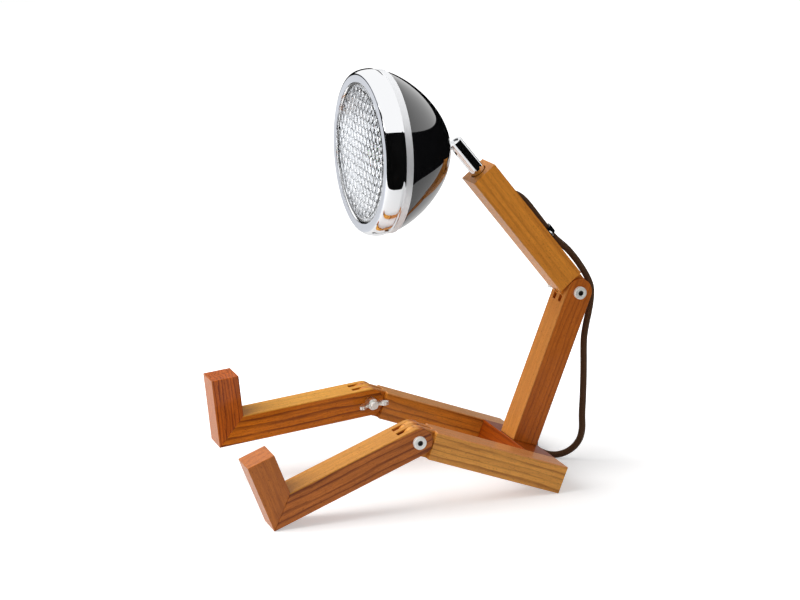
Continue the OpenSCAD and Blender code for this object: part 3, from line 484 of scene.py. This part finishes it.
def solid_copy(node):
    """A merged copy of a node's solid, with its flat faces in one piece."""
    work = bmesh.new()
    work.from_mesh(nodes[node].data)
    bmesh.ops.remove_doubles(work, verts=work.verts, dist=0.01 * MM)
    bmesh.ops.dissolve_limit(work, angle_limit=math.radians(1), verts=work.verts, edges=work.edges)
    return work


def ease(work, width, shortest=0.5 * MM, segments=3):
    """Rounds the convex corners, apart from those of small holes."""
    sharp = math.radians(28)
    corners = [edge for edge in work.edges if len(edge.link_faces) == 2 and edge.is_convex
               and edge.calc_face_angle() > sharp and edge.calc_length() > shortest]
    bmesh.ops.bevel(work, geom=corners, offset=width, offset_type="OFFSET", segments=segments, profile=0.5,
                    affect="EDGES", clamp_overlap=True, material=-1)


def make_piece(name, work, finish, slot, *stands_for):
    """Turns a bmesh into a piece that stands for CAD nodes, smooth apart from its corners and from the
    edges where a broad face meets a narrow one."""
    corner = math.radians(35)
    broader = 8
    for face in work.faces:
        face.smooth = True
    for edge in work.edges:
        areas = sorted(face.calc_area() for face in edge.link_faces)
        edge.smooth = len(areas) == 2 and edge.calc_face_angle() < corner and areas[1] < broader * areas[0]
    mesh = bpy.data.meshes.new(name)
    work.to_mesh(mesh)
    work.free()
    mesh.materials.append(finish.material)
    piece = bpy.data.objects.new(name, mesh)
    bpy.context.scene.collection.objects.link(piece)
    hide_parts(*stands_for)
    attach(piece, nodes[stands_for[0]]["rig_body"])
    return piece


def wood_finish(name, middle, turn, light, dark, face, ring=6 * MM, heart=(0.03, 0.3), lean=(0, 0.02, 0.05),
                streaks=0.8, gloss=0.15):
    """Oiled hardwood whose grain runs along the pattern's own X axis.

    The year rings are shells round the tree's heart, which lies far below the bar and leans a little to
    it: they cross the sides as long lines, and the upper face is the plain early wood of one year, in a
    colour of its own that carries painted light and sheen.
    Streaks, fibres and open pores are noise that is drawn out along the grain."""
    finish = Finish(name, Specular_IOR_Level=0.15, Coat_Weight=gloss, Coat_Roughness=0.1)
    tree_turn = [a + b for a, b in zip(turn, lean)]
    _, across, up = finish.parts(finish.place(middle, tree_turn))
    wander = finish.noise(finish.place(middle, turn, (9, 1, 1)), 70, 2)
    jag = finish.noise(finish.place(middle, turn, (12, 1, 1)), 700, 3, 0.6)
    streak = finish.noise(finish.place(middle, turn, (30, 1, 1)), 330, 3, 0.6)
    fibre = finish.noise(finish.place(middle, turn, (14, 1, 1)), 1500, 3, 0.65)
    speck = finish.noise(finish.place(middle, turn, (4, 1, 1)), 1700, 2)
    pore = speck.ramp(0.58, 0.72)
    radius = ((across + heart[0]) ** 2 + (up + heart[1]) ** 2) ** 0.5 + 12 * MM * wander + 2.2 * MM * jag
    year = (radius / ring).fraction()
    _, _, over_middle = finish.parts(finish.place(middle, turn))
    # The face on the pattern's +Z side takes the face colour: plain early wood with painted light and sheen.
    lit_face_mask = over_middle.ramp(bar_half - 1.5 * MM, bar_half - 0.2 * MM)
    late = year.ramp(0.5, 0.92) * (1 - year.ramp(0.92, 1))
    wood = finish.mix(streak.ramp(0.3, 0.7), light, [0.6 * a + 0.4 * b for a, b in zip(light, dark)])
    wood = finish.mix(late * streak.ramp(0.25, 0.6, 0.35, 1) * streaks, wood, dark)
    lit_face_wood = finish.mix(streak.ramp(0.3, 0.7), face, [0.85 * value for value in face])
    wood = finish.mix(lit_face_mask, wood, lit_face_wood)
    wood = finish.mix(fibre.ramp(0.3, 0.7, 0.35, 0), wood, dark)
    wood = finish.mix(pore * 0.5, wood, [0.45 * value for value in dark])
    finish.put("Base Color", wood)
    finish.put("Roughness", 0.36 + 0.12 * fibre + 0.2 * pore)
    finish.bump(fibre * 0.5 + late * 0.2 - pore, 0.02 * MM)
    return finish


def bar(node, through, turn, light, dark, face, **pattern):
    """One bar, with a point of its middle line, its turn and its colours: plain wood, rings, and an upper
    face of plain wood with painted light and sheen.
    """
    work = solid_copy(node)
    ease(work, bar_corner)
    finish = wood_finish(node + "_wood", through, turn, paint(*light), paint(*dark), paint(*face), **pattern)
    make_piece("wooden_" + node, work, finish, "oiled_wood", node)


left_knee = pivot("left_knee")
right_knee = pivot("right_knee")
elbow = pivot("elbow")
hip_middle = (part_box("hip_block")[0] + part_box("hip_block")[1]) / 2
left_heel = left_knee - Vector((math.cos(left_drop), 0, math.sin(left_drop))) * heel_from_knee
right_heel = right_knee - Vector((math.cos(right_drop), 0, math.sin(right_drop))) * heel_from_knee
# Each bar's third colour is its upper face as lit: plain wood with painted light and sheen.
bar("left_thigh", left_knee, (0, thigh_tilt, 0), (250, 177, 80), (164, 94, 32), (250, 167, 100), gloss=0.35)
bar("right_thigh", right_knee, (0, thigh_tilt, 0), (234, 142, 45), (139, 73, 19), (250, 177, 105),
    gloss=0.35, ring=7 * MM)
bar("hip_block", hip_middle, (thigh_tilt, 0, upright), (165, 73, 6), (109, 40, 4), (165, 73, 6), gloss=0.35)
bar("torso_bar", elbow, (0, thigh_tilt - upright, 0), (214, 116, 32), (154, 74, 15), (205, 134, 61),
    ring=5 * MM, streaks=0.6)
bar("upper_arm", elbow, (0, -arm_lean - upright, 0), (250, 161, 56), (189, 110, 32), (233, 158, 73),
    gloss=0.3, ring=6.5 * MM, streaks=0.5)
bar("left_shin", left_knee, (0, -left_drop, 0), (211, 122, 52), (112, 52, 19), (221, 151, 61),
    ring=6.5 * MM, streaks=1)
bar("left_foot", left_heel, (0, -left_drop - upright, 0), (204, 117, 40), (134, 66, 18), (189, 111, 42),
    heart=(0.3, 0.03), ring=8 * MM, streaks=0.4, gloss=0.4)
bar("right_shin", right_knee, (0, -right_drop, 0), (233, 128, 23), (119, 54, 6), (250, 179, 75),
    ring=7 * MM, streaks=1)
bar("right_foot", right_heel, (0, -right_drop - upright, 0), (221, 110, 27), (97, 35, 4), (189, 106, 38),
    ring=3.4 * MM, lean=(0, 0, 0), streaks=0.8, gloss=0.4)


# ---------------------------------------------------------------- Dowels and wood screws
# Beech dowels are glued across the hip and the heels, and two zinc-plated wood screws hold the torso
# from below. Only the screw heads show, so the solids keep their own shape.
def plain_wood():
    finish = Finish("dowel_wood", Roughness=0.6)
    fleck = finish.noise(finish.place(scale=(1, 6, 1)), 900)
    finish.put("Base Color", finish.mix(fleck, paint(214, 178, 128), paint(190, 150, 100)))
    finish.bump(fleck, 0.02 * MM)
    return finish


def scratches(finish):
    """The rub of fine scratches that polishing and handling leave on metal."""
    return finish.noise(finish.place(turn=(0, 0.4, 0.3), scale=(1, 1, 7)), 900, 4)


def metal_finish(name, colour, roughness, wear=1):
    """Bare or plated metal: scratches make its gloss uneven."""
    finish = Finish(name, Metallic=1)
    rub = scratches(finish)
    cloud = finish.noise(finish.place(), 60)
    finish.put("Base Color", finish.mix(cloud, [0.9 * value for value in colour], colour))
    bright, dull = roughness * (1 - 0.35 * wear), roughness * (1 + 0.5 * wear)
    finish.put("Roughness", (0.5 * rub + 0.5 * cloud).ramp(0.3, 0.7, bright, dull))
    finish.bump(rub, 0.002 * MM * wear)
    return finish


def dress(node, finish, slot, corner=0, shortest=0.3 * MM, segments=2):
    """Gives a piece with its solid's own shape, and eased corners where they have a width."""
    work = solid_copy(node)
    if corner:
        ease(work, corner, shortest, segments)
    return make_piece("finished_" + node, work, finish, slot, node)


zinc = metal_finish("zinc_steel", paint(248, 248, 244), 0.28, 0.5)
dowel_wood = plain_wood()
for node in ("hip_dowels", "left_foot_dowels", "right_foot_dowels"):
    nodes[node].data.materials.clear()
    nodes[node].data.materials.append(dowel_wood.material)
dress("torso_screws", zinc, "zinc_steel")


# ---------------------------------------------------------------- Joint bolts and wing nuts
# Zinc-plated M6 bolts with round heads and hex sockets, and cast wing nuts that clamp the fingers. The
# heads are turned parts, so only the nuts' wings need eased corners.
socket_r = 2.35 * MM


def bolt_finish(joint, outwards):
    """A pale, matt coat, and painted shade in the head's socket. The head is on the side that outwards gives.
    """
    pale = paint(250, 250, 245)
    finish = metal_finish(joint + "_zinc", pale, 0.4, 0.5)
    along, across, up = finish.parts(finish.place(pivot(joint)))
    # The hex socket is painted dark, as painted shade in the recess.
    painted_socket_shade = ((along ** 2 + up ** 2) ** 0.5 < socket_r) * (across * outwards > 0)
    finish.put("Base Color", finish.mix(painted_socket_shade, pale, paint(60, 56, 50)))
    finish.put("Metallic", 0.35)
    return finish


for joint, outwards in (("elbow", -1), ("left_knee", -1), ("right_knee", 1)):
    dress(joint + "_bolt", bolt_finish(joint, outwards), "zinc_steel")
for nut in ("elbow_wing_nut", "left_wing_nut", "right_wing_nut"):
    dress(nut, zinc, "zinc_steel", corner=0.35 * MM, shortest=0.25 * MM)


# ---------------------------------------------------------------- Neck
# A chromed brass tube that turns in a bronze bush in the arm, whose colour is darkened as painted shade
# round the tube's foot. Its slotted mouth holds the ball of the head's stud, which a spring and a cup
# press from below, and the leads run up through it.
chrome = metal_finish("chrome", paint(249, 250, 252), 0.03, 0.4)
brass = metal_finish("brass", paint(214, 176, 106), 0.28)
# The bush's bronze is painted darker than bronze, as painted shade round the foot of the tube.
bronze_painted_as_shade = metal_finish("bronze_darkened_as_shade", paint(100, 66, 42), 0.5)


def sleeve_finish():
    finish = Finish("lead_sleeve", Roughness=0.45)
    grime = finish.noise(finish.place(), 300)
    finish.put("Base Color", finish.mix(grime, paint(236, 232, 220), paint(214, 208, 192)))
    return finish


lead_sleeve = sleeve_finish()
dress("neck_tube", chrome, "chrome", corner=0.3 * MM, shortest=0.25 * MM)
dress("neck_bush", bronze_painted_as_shade, "brass")
for node in ("neck_plug", "ball_seat"):
    dress(node, brass, "brass")
dress("neck_spring", zinc, "zinc_steel")
dress("neck_leads", lead_sleeve, "lead_sleeve")
dress("ball_stud", chrome, "chrome")
dress("stud_nut", zinc, "zinc_steel", corner=0.3 * MM)


# ---------------------------------------------------------------- Dome
# A spun steel dome in black gloss lacquer. Its line is a superellipse from the neck to the bezel, turned
# round the head's axis with a 1 mm wall. The flat pad inside is where the bulb's bracket lies.
ball = pivot("head_nod")
shell_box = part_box("lamp_shell")
dome_start = ball.x - shell_box[1].x
dome_r = (shell_box[1].z - shell_box[0].z) / 2
shell_lip = 7 * MM
dome_end = ball.x - shell_box[0].x - shell_lip
dome_wall = 1 * MM
dome_powers = (1.34, 1.85)
dome_hole_r = 3.1 * MM
pad_r = 8 * MM
pad_depth = 1.6 * MM


def turned(profile, steps=192):
    """Spins a closed line of (distance from the ball, radius) round the head's axis."""
    work = bmesh.new()
    ring = [work.verts.new((ball.x - at, 0, ball.z + radius)) for at, radius in profile]
    line = [work.edges.new(pair) for pair in zip(ring, ring[1:] + ring[:1])]
    bmesh.ops.spin(work, geom=ring + line, cent=ball, axis=(1, 0, 0), angle=2 * math.pi, steps=steps,
                   use_merge=True)
    bmesh.ops.remove_doubles(work, verts=work.verts, dist=0.001 * MM)
    bmesh.ops.recalc_face_normals(work, faces=work.faces)
    return work


def dome_line(radius, start, end, steps=56):
    """A quarter of a superellipse, with its steps closer together at the neck."""
    parts = [(i / steps) ** 2 for i in range(1, steps + 1)]
    along, across = dome_powers
    return [(start + part * (end - start), radius * (1 - (1 - part) ** along) ** (1 / across))
            for part in parts]


def lacquer_finish():
    """Black gloss lacquer: the faintest orange peel and a few specks of dust."""
    finish = Finish("black_lacquer", IOR=1.6, Coat_Weight=1, Coat_IOR=1.6, Coat_Roughness=0.01)
    peel = finish.noise(finish.place(), 420, 2)
    dust = finish.noise(finish.place(), 1900, 2).ramp(0.72, 0.8)
    finish.put("Base Color", finish.mix(dust * 0.3, (0.006, 0.006, 0.007), (0.05, 0.05, 0.05)))
    finish.put("Roughness", 0.05 + 0.1 * dust)
    finish.bump(peel, 0.001 * MM)
    return finish


black_lacquer = lacquer_finish()
outside = [(at, radius) for at, radius in dome_line(dome_r, dome_start, dome_end) if radius > dome_hole_r]
inside = [(at, radius) for at, radius in dome_line(dome_r - dome_wall, dome_start + dome_wall, dome_end)
          if radius > pad_r and at > dome_start + pad_depth]
rim = [(dome_end + shell_lip, dome_r), (dome_end + shell_lip, dome_r - dome_wall)]
pad = [(dome_start + pad_depth, pad_r), (dome_start + pad_depth, dome_hole_r)]
dome = turned([(dome_start, dome_hole_r)] + outside + rim + inside[::-1] + pad)
make_piece("dome", dome, black_lacquer, "black_lacquer", "lamp_shell")


# ---------------------------------------------------------------- Bezel
# A chromed steel ring that holds the lens: a flange on the dome, a hollow, a broad rounded band and a
# flat lip. It is turned from the same line as its solid, with finer steps.
bezel_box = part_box("bezel_ring")
band_r = (bezel_box[1].z - bezel_box[0].z) / 2
bezel_end = ball.x - bezel_box[0].x
bezel_wall = 0.8 * MM
flange_r = dome_r + 0.2 * MM + bezel_wall
hollow_at = dome_end + 6 * MM
crest_at = hollow_at + 4 * MM
lip_r = 66.4 * MM
lip_depth = 0.3 * MM
opening_r = 60.5 * MM


def bezel_line(wall, steps=14):
    """The ring's line from the flange to the lip, a wall's thickness under its face."""
    hollow = [(hollow_at + (crest_at - hollow_at) * i / steps,
               flange_r - wall + (band_r - flange_r) * (1 - math.cos(math.pi * i / steps)) / 2)
              for i in range(1, steps + 1)]
    band = [(crest_at + (bezel_end - wall - crest_at) * math.sin(angle),
             lip_r + (band_r - lip_r - wall) * math.cos(angle))
            for angle in (math.radians(degrees) for degrees in range(3, 91, 3))]
    return [(dome_end, flange_r - wall), (hollow_at, flange_r - wall)] + hollow + band


def bezel_finish():
    """Polished chrome, with a brushed flange at the back and a flat lip at the front that is painted greyer
    and bluer as painted reflection.
    """
    finish = Finish("bezel_chrome")
    front, _, _ = finish.parts(finish.place(ball))
    flange = front > -hollow_at
    lip_painted_reflection = front < -(bezel_end - lip_depth)
    rub = scratches(finish)
    # The lip's chrome is painted grey-blue, as a painted reflection.
    finish.put("Base Color", finish.mix(lip_painted_reflection, paint(247, 248, 250), paint(219, 223, 232)))
    finish.put("Metallic", 1 - 0.55 * flange)
    finish.put("Roughness", rub.ramp(0.3, 0.7, 0.025, 0.036) + 0.42 * flange)
    return finish


bezel_chrome = bezel_finish()
opening = [(bezel_end, opening_r), (bezel_end - bezel_wall, opening_r)]
bezel = turned(bezel_line(0) + opening + bezel_line(bezel_wall)[::-1], steps=256)
make_piece("bezel", bezel, bezel_chrome, "chrome", "bezel_ring")


# ---------------------------------------------------------------- Lens
# Pressed glass with a crowned front, turned from its line. Its face is covered with six-sided pillows,
# which break up the light.
lens_r = opening_r + 3.6 * MM
lens_front = bezel_end - bezel_wall
lens_back = lens_front - 3.5 * MM
lens_edge = (lens_front - 0.1 * MM, opening_r - 0.5 * MM)
crown_r = opening_r - 1.5 * MM
crown_foot = lens_edge[0] - 0.5 * MM
crown_rise = 2.5 * MM
pillow_height = 0.5 * MM
pillow_pitch = 8.3 * MM
pillows_to = 0.92 * crown_r
plain_from = 0.95 * crown_r


def glass_finish():
    """Clear glass whose front is divided into six-sided pillows, in rows across the lens, with grey lines of
    painted shade in the grooves between them.
    """
    finish = Finish("lens_glass", IOR=1.5, Transmission_Weight=1)
    front, across, up = finish.parts(finish.place(ball, (math.radians(3), 0, 0)))
    column, row = across / pillow_pitch, up / (pillow_pitch * math.sqrt(3))
    offsets = [(abs((column + shift).fraction() - 0.5), abs((row + shift).fraction() - 0.5) * math.sqrt(3))
               for shift in (0, 0.5)]
    radii = [x ** 2 + y ** 2 for x, y in offsets]
    first = radii[0] < radii[1]
    x, y = (first * offsets[0][i] + (1 - first) * offsets[1][i] for i in (0, 1))
    inside = 0.5 - x.or_more(x * 0.5 + y * math.sqrt(0.75))
    on_face = (across ** 2 + up ** 2).ramp(pillows_to ** 2, plain_from ** 2, 1, 0) * (front < -crown_foot)
    # Painted shade: the grooves between the pillows are painted grey, and the pillows stay clear.
    clear = inside.ramp(0.02, 0.09) * on_face + (1 - on_face)
    smear = finish.noise(finish.place(), 500)
    finish.put("Base Color", finish.mix(clear, paint(120, 124, 128), paint(252, 253, 254)))
    finish.put("Roughness", smear.ramp(0.3, 0.7, 0.01, 0.05))
    finish.bump((inside.ramp(0, 0.2, 0, 0.5) + 1 - x ** 2 - y ** 2) * on_face, pillow_height)
    return finish


crown_steps = 40
crown = [(crown_foot + crown_rise * (1 - (i / crown_steps) ** 2), crown_r * i / crown_steps)
         for i in range(crown_steps, -1, -1)]
lens = turned([(lens_back, 0), (lens_back, lens_r), (lens_edge[0], lens_r), lens_edge] + crown)
lens_glass = glass_finish()
make_piece("pressed_lens", lens, lens_glass, "lens_glass", "lens")


# ---------------------------------------------------------------- Inside of the head
# A bright aluminium reflector lies behind the lens on a rubber gasket, held by four clips. A steel
# bracket under the stud's nut carries a ceramic holder with a frosted capsule bulb.
def rubber_finish(name, colour, roughness=0.7):
    finish = Finish(name, Specular_IOR_Level=0.35)
    bloom = finish.noise(finish.place(), 700, 4)
    finish.put("Base Color", finish.mix(bloom, colour, [1.5 * value + 0.004 for value in colour]))
    finish.put("Roughness", bloom.ramp(0.3, 0.7, roughness - 0.1, roughness + 0.1))
    finish.bump(bloom, 0.02 * MM)
    return finish


def ceramic_finish():
    finish = Finish("ceramic", Coat_Weight=0.5, Coat_Roughness=0.2)
    speck = finish.noise(finish.place(), 1500)
    finish.put("Base Color", finish.mix(speck, paint(238, 232, 216), paint(222, 214, 196)))
    finish.put("Roughness", speck.ramp(0.3, 0.7, 0.4, 0.55))
    return finish


def opal_finish():
    finish = Finish("bulb_opal", Coat_Weight=0.4, Coat_Roughness=0.1, Subsurface_Weight=0.2)
    frost = finish.noise(finish.place(), 1200)
    finish.put("Base Color", finish.mix(frost, paint(250, 248, 240), paint(240, 238, 228)))
    finish.put("Roughness", frost.ramp(0.3, 0.7, 0.3, 0.42))
    return finish


bowl_r = opening_r - 2.5 * MM
bowl_hole_r = 11 * MM
bowl_focus = 20 * MM
gasket_back = lens_back - 1 * MM
reflector_wall = 0.8 * MM
flange_back = gasket_back - reflector_wall
bowl_pole = flange_back - bowl_r ** 2 / (4 * bowl_focus)


def bowl_line(shift, steps=40):
    """The reflector's parabola, moved forwards by a shift."""
    radii = [bowl_hole_r + (bowl_r - bowl_hole_r) * i / steps for i in range(steps + 1)]
    return [(bowl_pole + shift + radius ** 2 / (4 * bowl_focus), radius) for radius in radii]


reflector_metal = metal_finish("reflector_aluminium", paint(206, 208, 212), 0.11, 0.6)
reflector_flange = [(gasket_back, lens_r), (flange_back, lens_r), (flange_back, bowl_r + reflector_wall)]
bowl = turned(bowl_line(reflector_wall) + reflector_flange + bowl_line(0)[::-1])
make_piece("bright_reflector", bowl, reflector_metal, "reflector_aluminium", "reflector")
gasket_rubber = rubber_finish("gasket_rubber", (0.02, 0.02, 0.02))
ceramic = ceramic_finish()
bulb_opal = opal_finish()
dress("lens_gasket", gasket_rubber, "gasket_rubber")
dress("reflector_clips", zinc, "zinc_steel", corner=0.2 * MM)
dress("holder_bracket", zinc, "zinc_steel", corner=0.2 * MM)
dress("bulb_holder", ceramic, "ceramic", corner=0.4 * MM, shortest=0.6 * MM)
dress("holder_screws", zinc, "zinc_steel")
dress("bulb", bulb_opal, "bulb_opal")
dress("head_leads", lead_sleeve, "lead_sleeve")


# ---------------------------------------------------------------- Cord clip
# A small black saddle clip of pressed steel holds the cord on the back of the arm, with one
# round-headed screw.
dress("cord_clip", black_lacquer, "black_lacquer", corner=0.2 * MM)
dress("clip_screw", zinc, "zinc_steel", corner=0.1 * MM)


# ---------------------------------------------------------------- Inline switch
# Two halves of moulded black plastic, screwed together from below round the ends of both lengths of
# cord, with a rocker that turns on two pins.
def plastic_finish(name, colour, roughness):
    """Moulded plastic with a fine spark-eroded grain."""
    finish = Finish(name, Specular_IOR_Level=0.5)
    grain = finish.noise(finish.place(), 2400, 3, 0.6)
    finish.put("Base Color", finish.mix(grain, colour, [1.25 * value for value in colour]))
    finish.put("Roughness", grain.ramp(0.3, 0.7, roughness - 0.06, roughness + 0.08))
    finish.bump(grain, 0.02 * MM)
    return finish


black_plastic = plastic_finish("black_plastic", (0.012, 0.012, 0.013), 0.42)
rocker_plastic = plastic_finish("rocker_plastic", (0.018, 0.018, 0.02), 0.3)
switch_pieces = [dress("switch_base", black_plastic, "black_plastic", corner=0.5 * MM, shortest=1 * MM),
                 dress("switch_cover", black_plastic, "black_plastic", corner=0.5 * MM, shortest=1 * MM),
                 dress("switch_screws", zinc, "zinc_steel"),
                 dress("switch_rocker", rocker_plastic, "rocker_plastic", corner=0.4 * MM)]


# ---------------------------------------------------------------- Plug and coil tie
# A flat two-pin plug of moulded black plastic with a rubber strain relief and plated pins, and a soft
# black tie round one side of the coil.
black_rubber = rubber_finish("black_rubber", (0.014, 0.014, 0.014), 0.6)
pin_metal = metal_finish("plug_pin_metal", paint(222, 210, 178), 0.2)
plug_body = dress("plug_body", black_plastic, "black_plastic", corner=1.2 * MM, shortest=1 * MM, segments=4)
plug_pieces = [plug_body,
               dress("plug_relief", black_rubber, "black_rubber", corner=0.4 * MM),
               dress("plug_pins", pin_metal, "plug_pin_metal"),
               dress("coil_tie", black_rubber, "black_rubber", corner=0.2 * MM)]

line_length(upper_line)
line_length(lower_line)
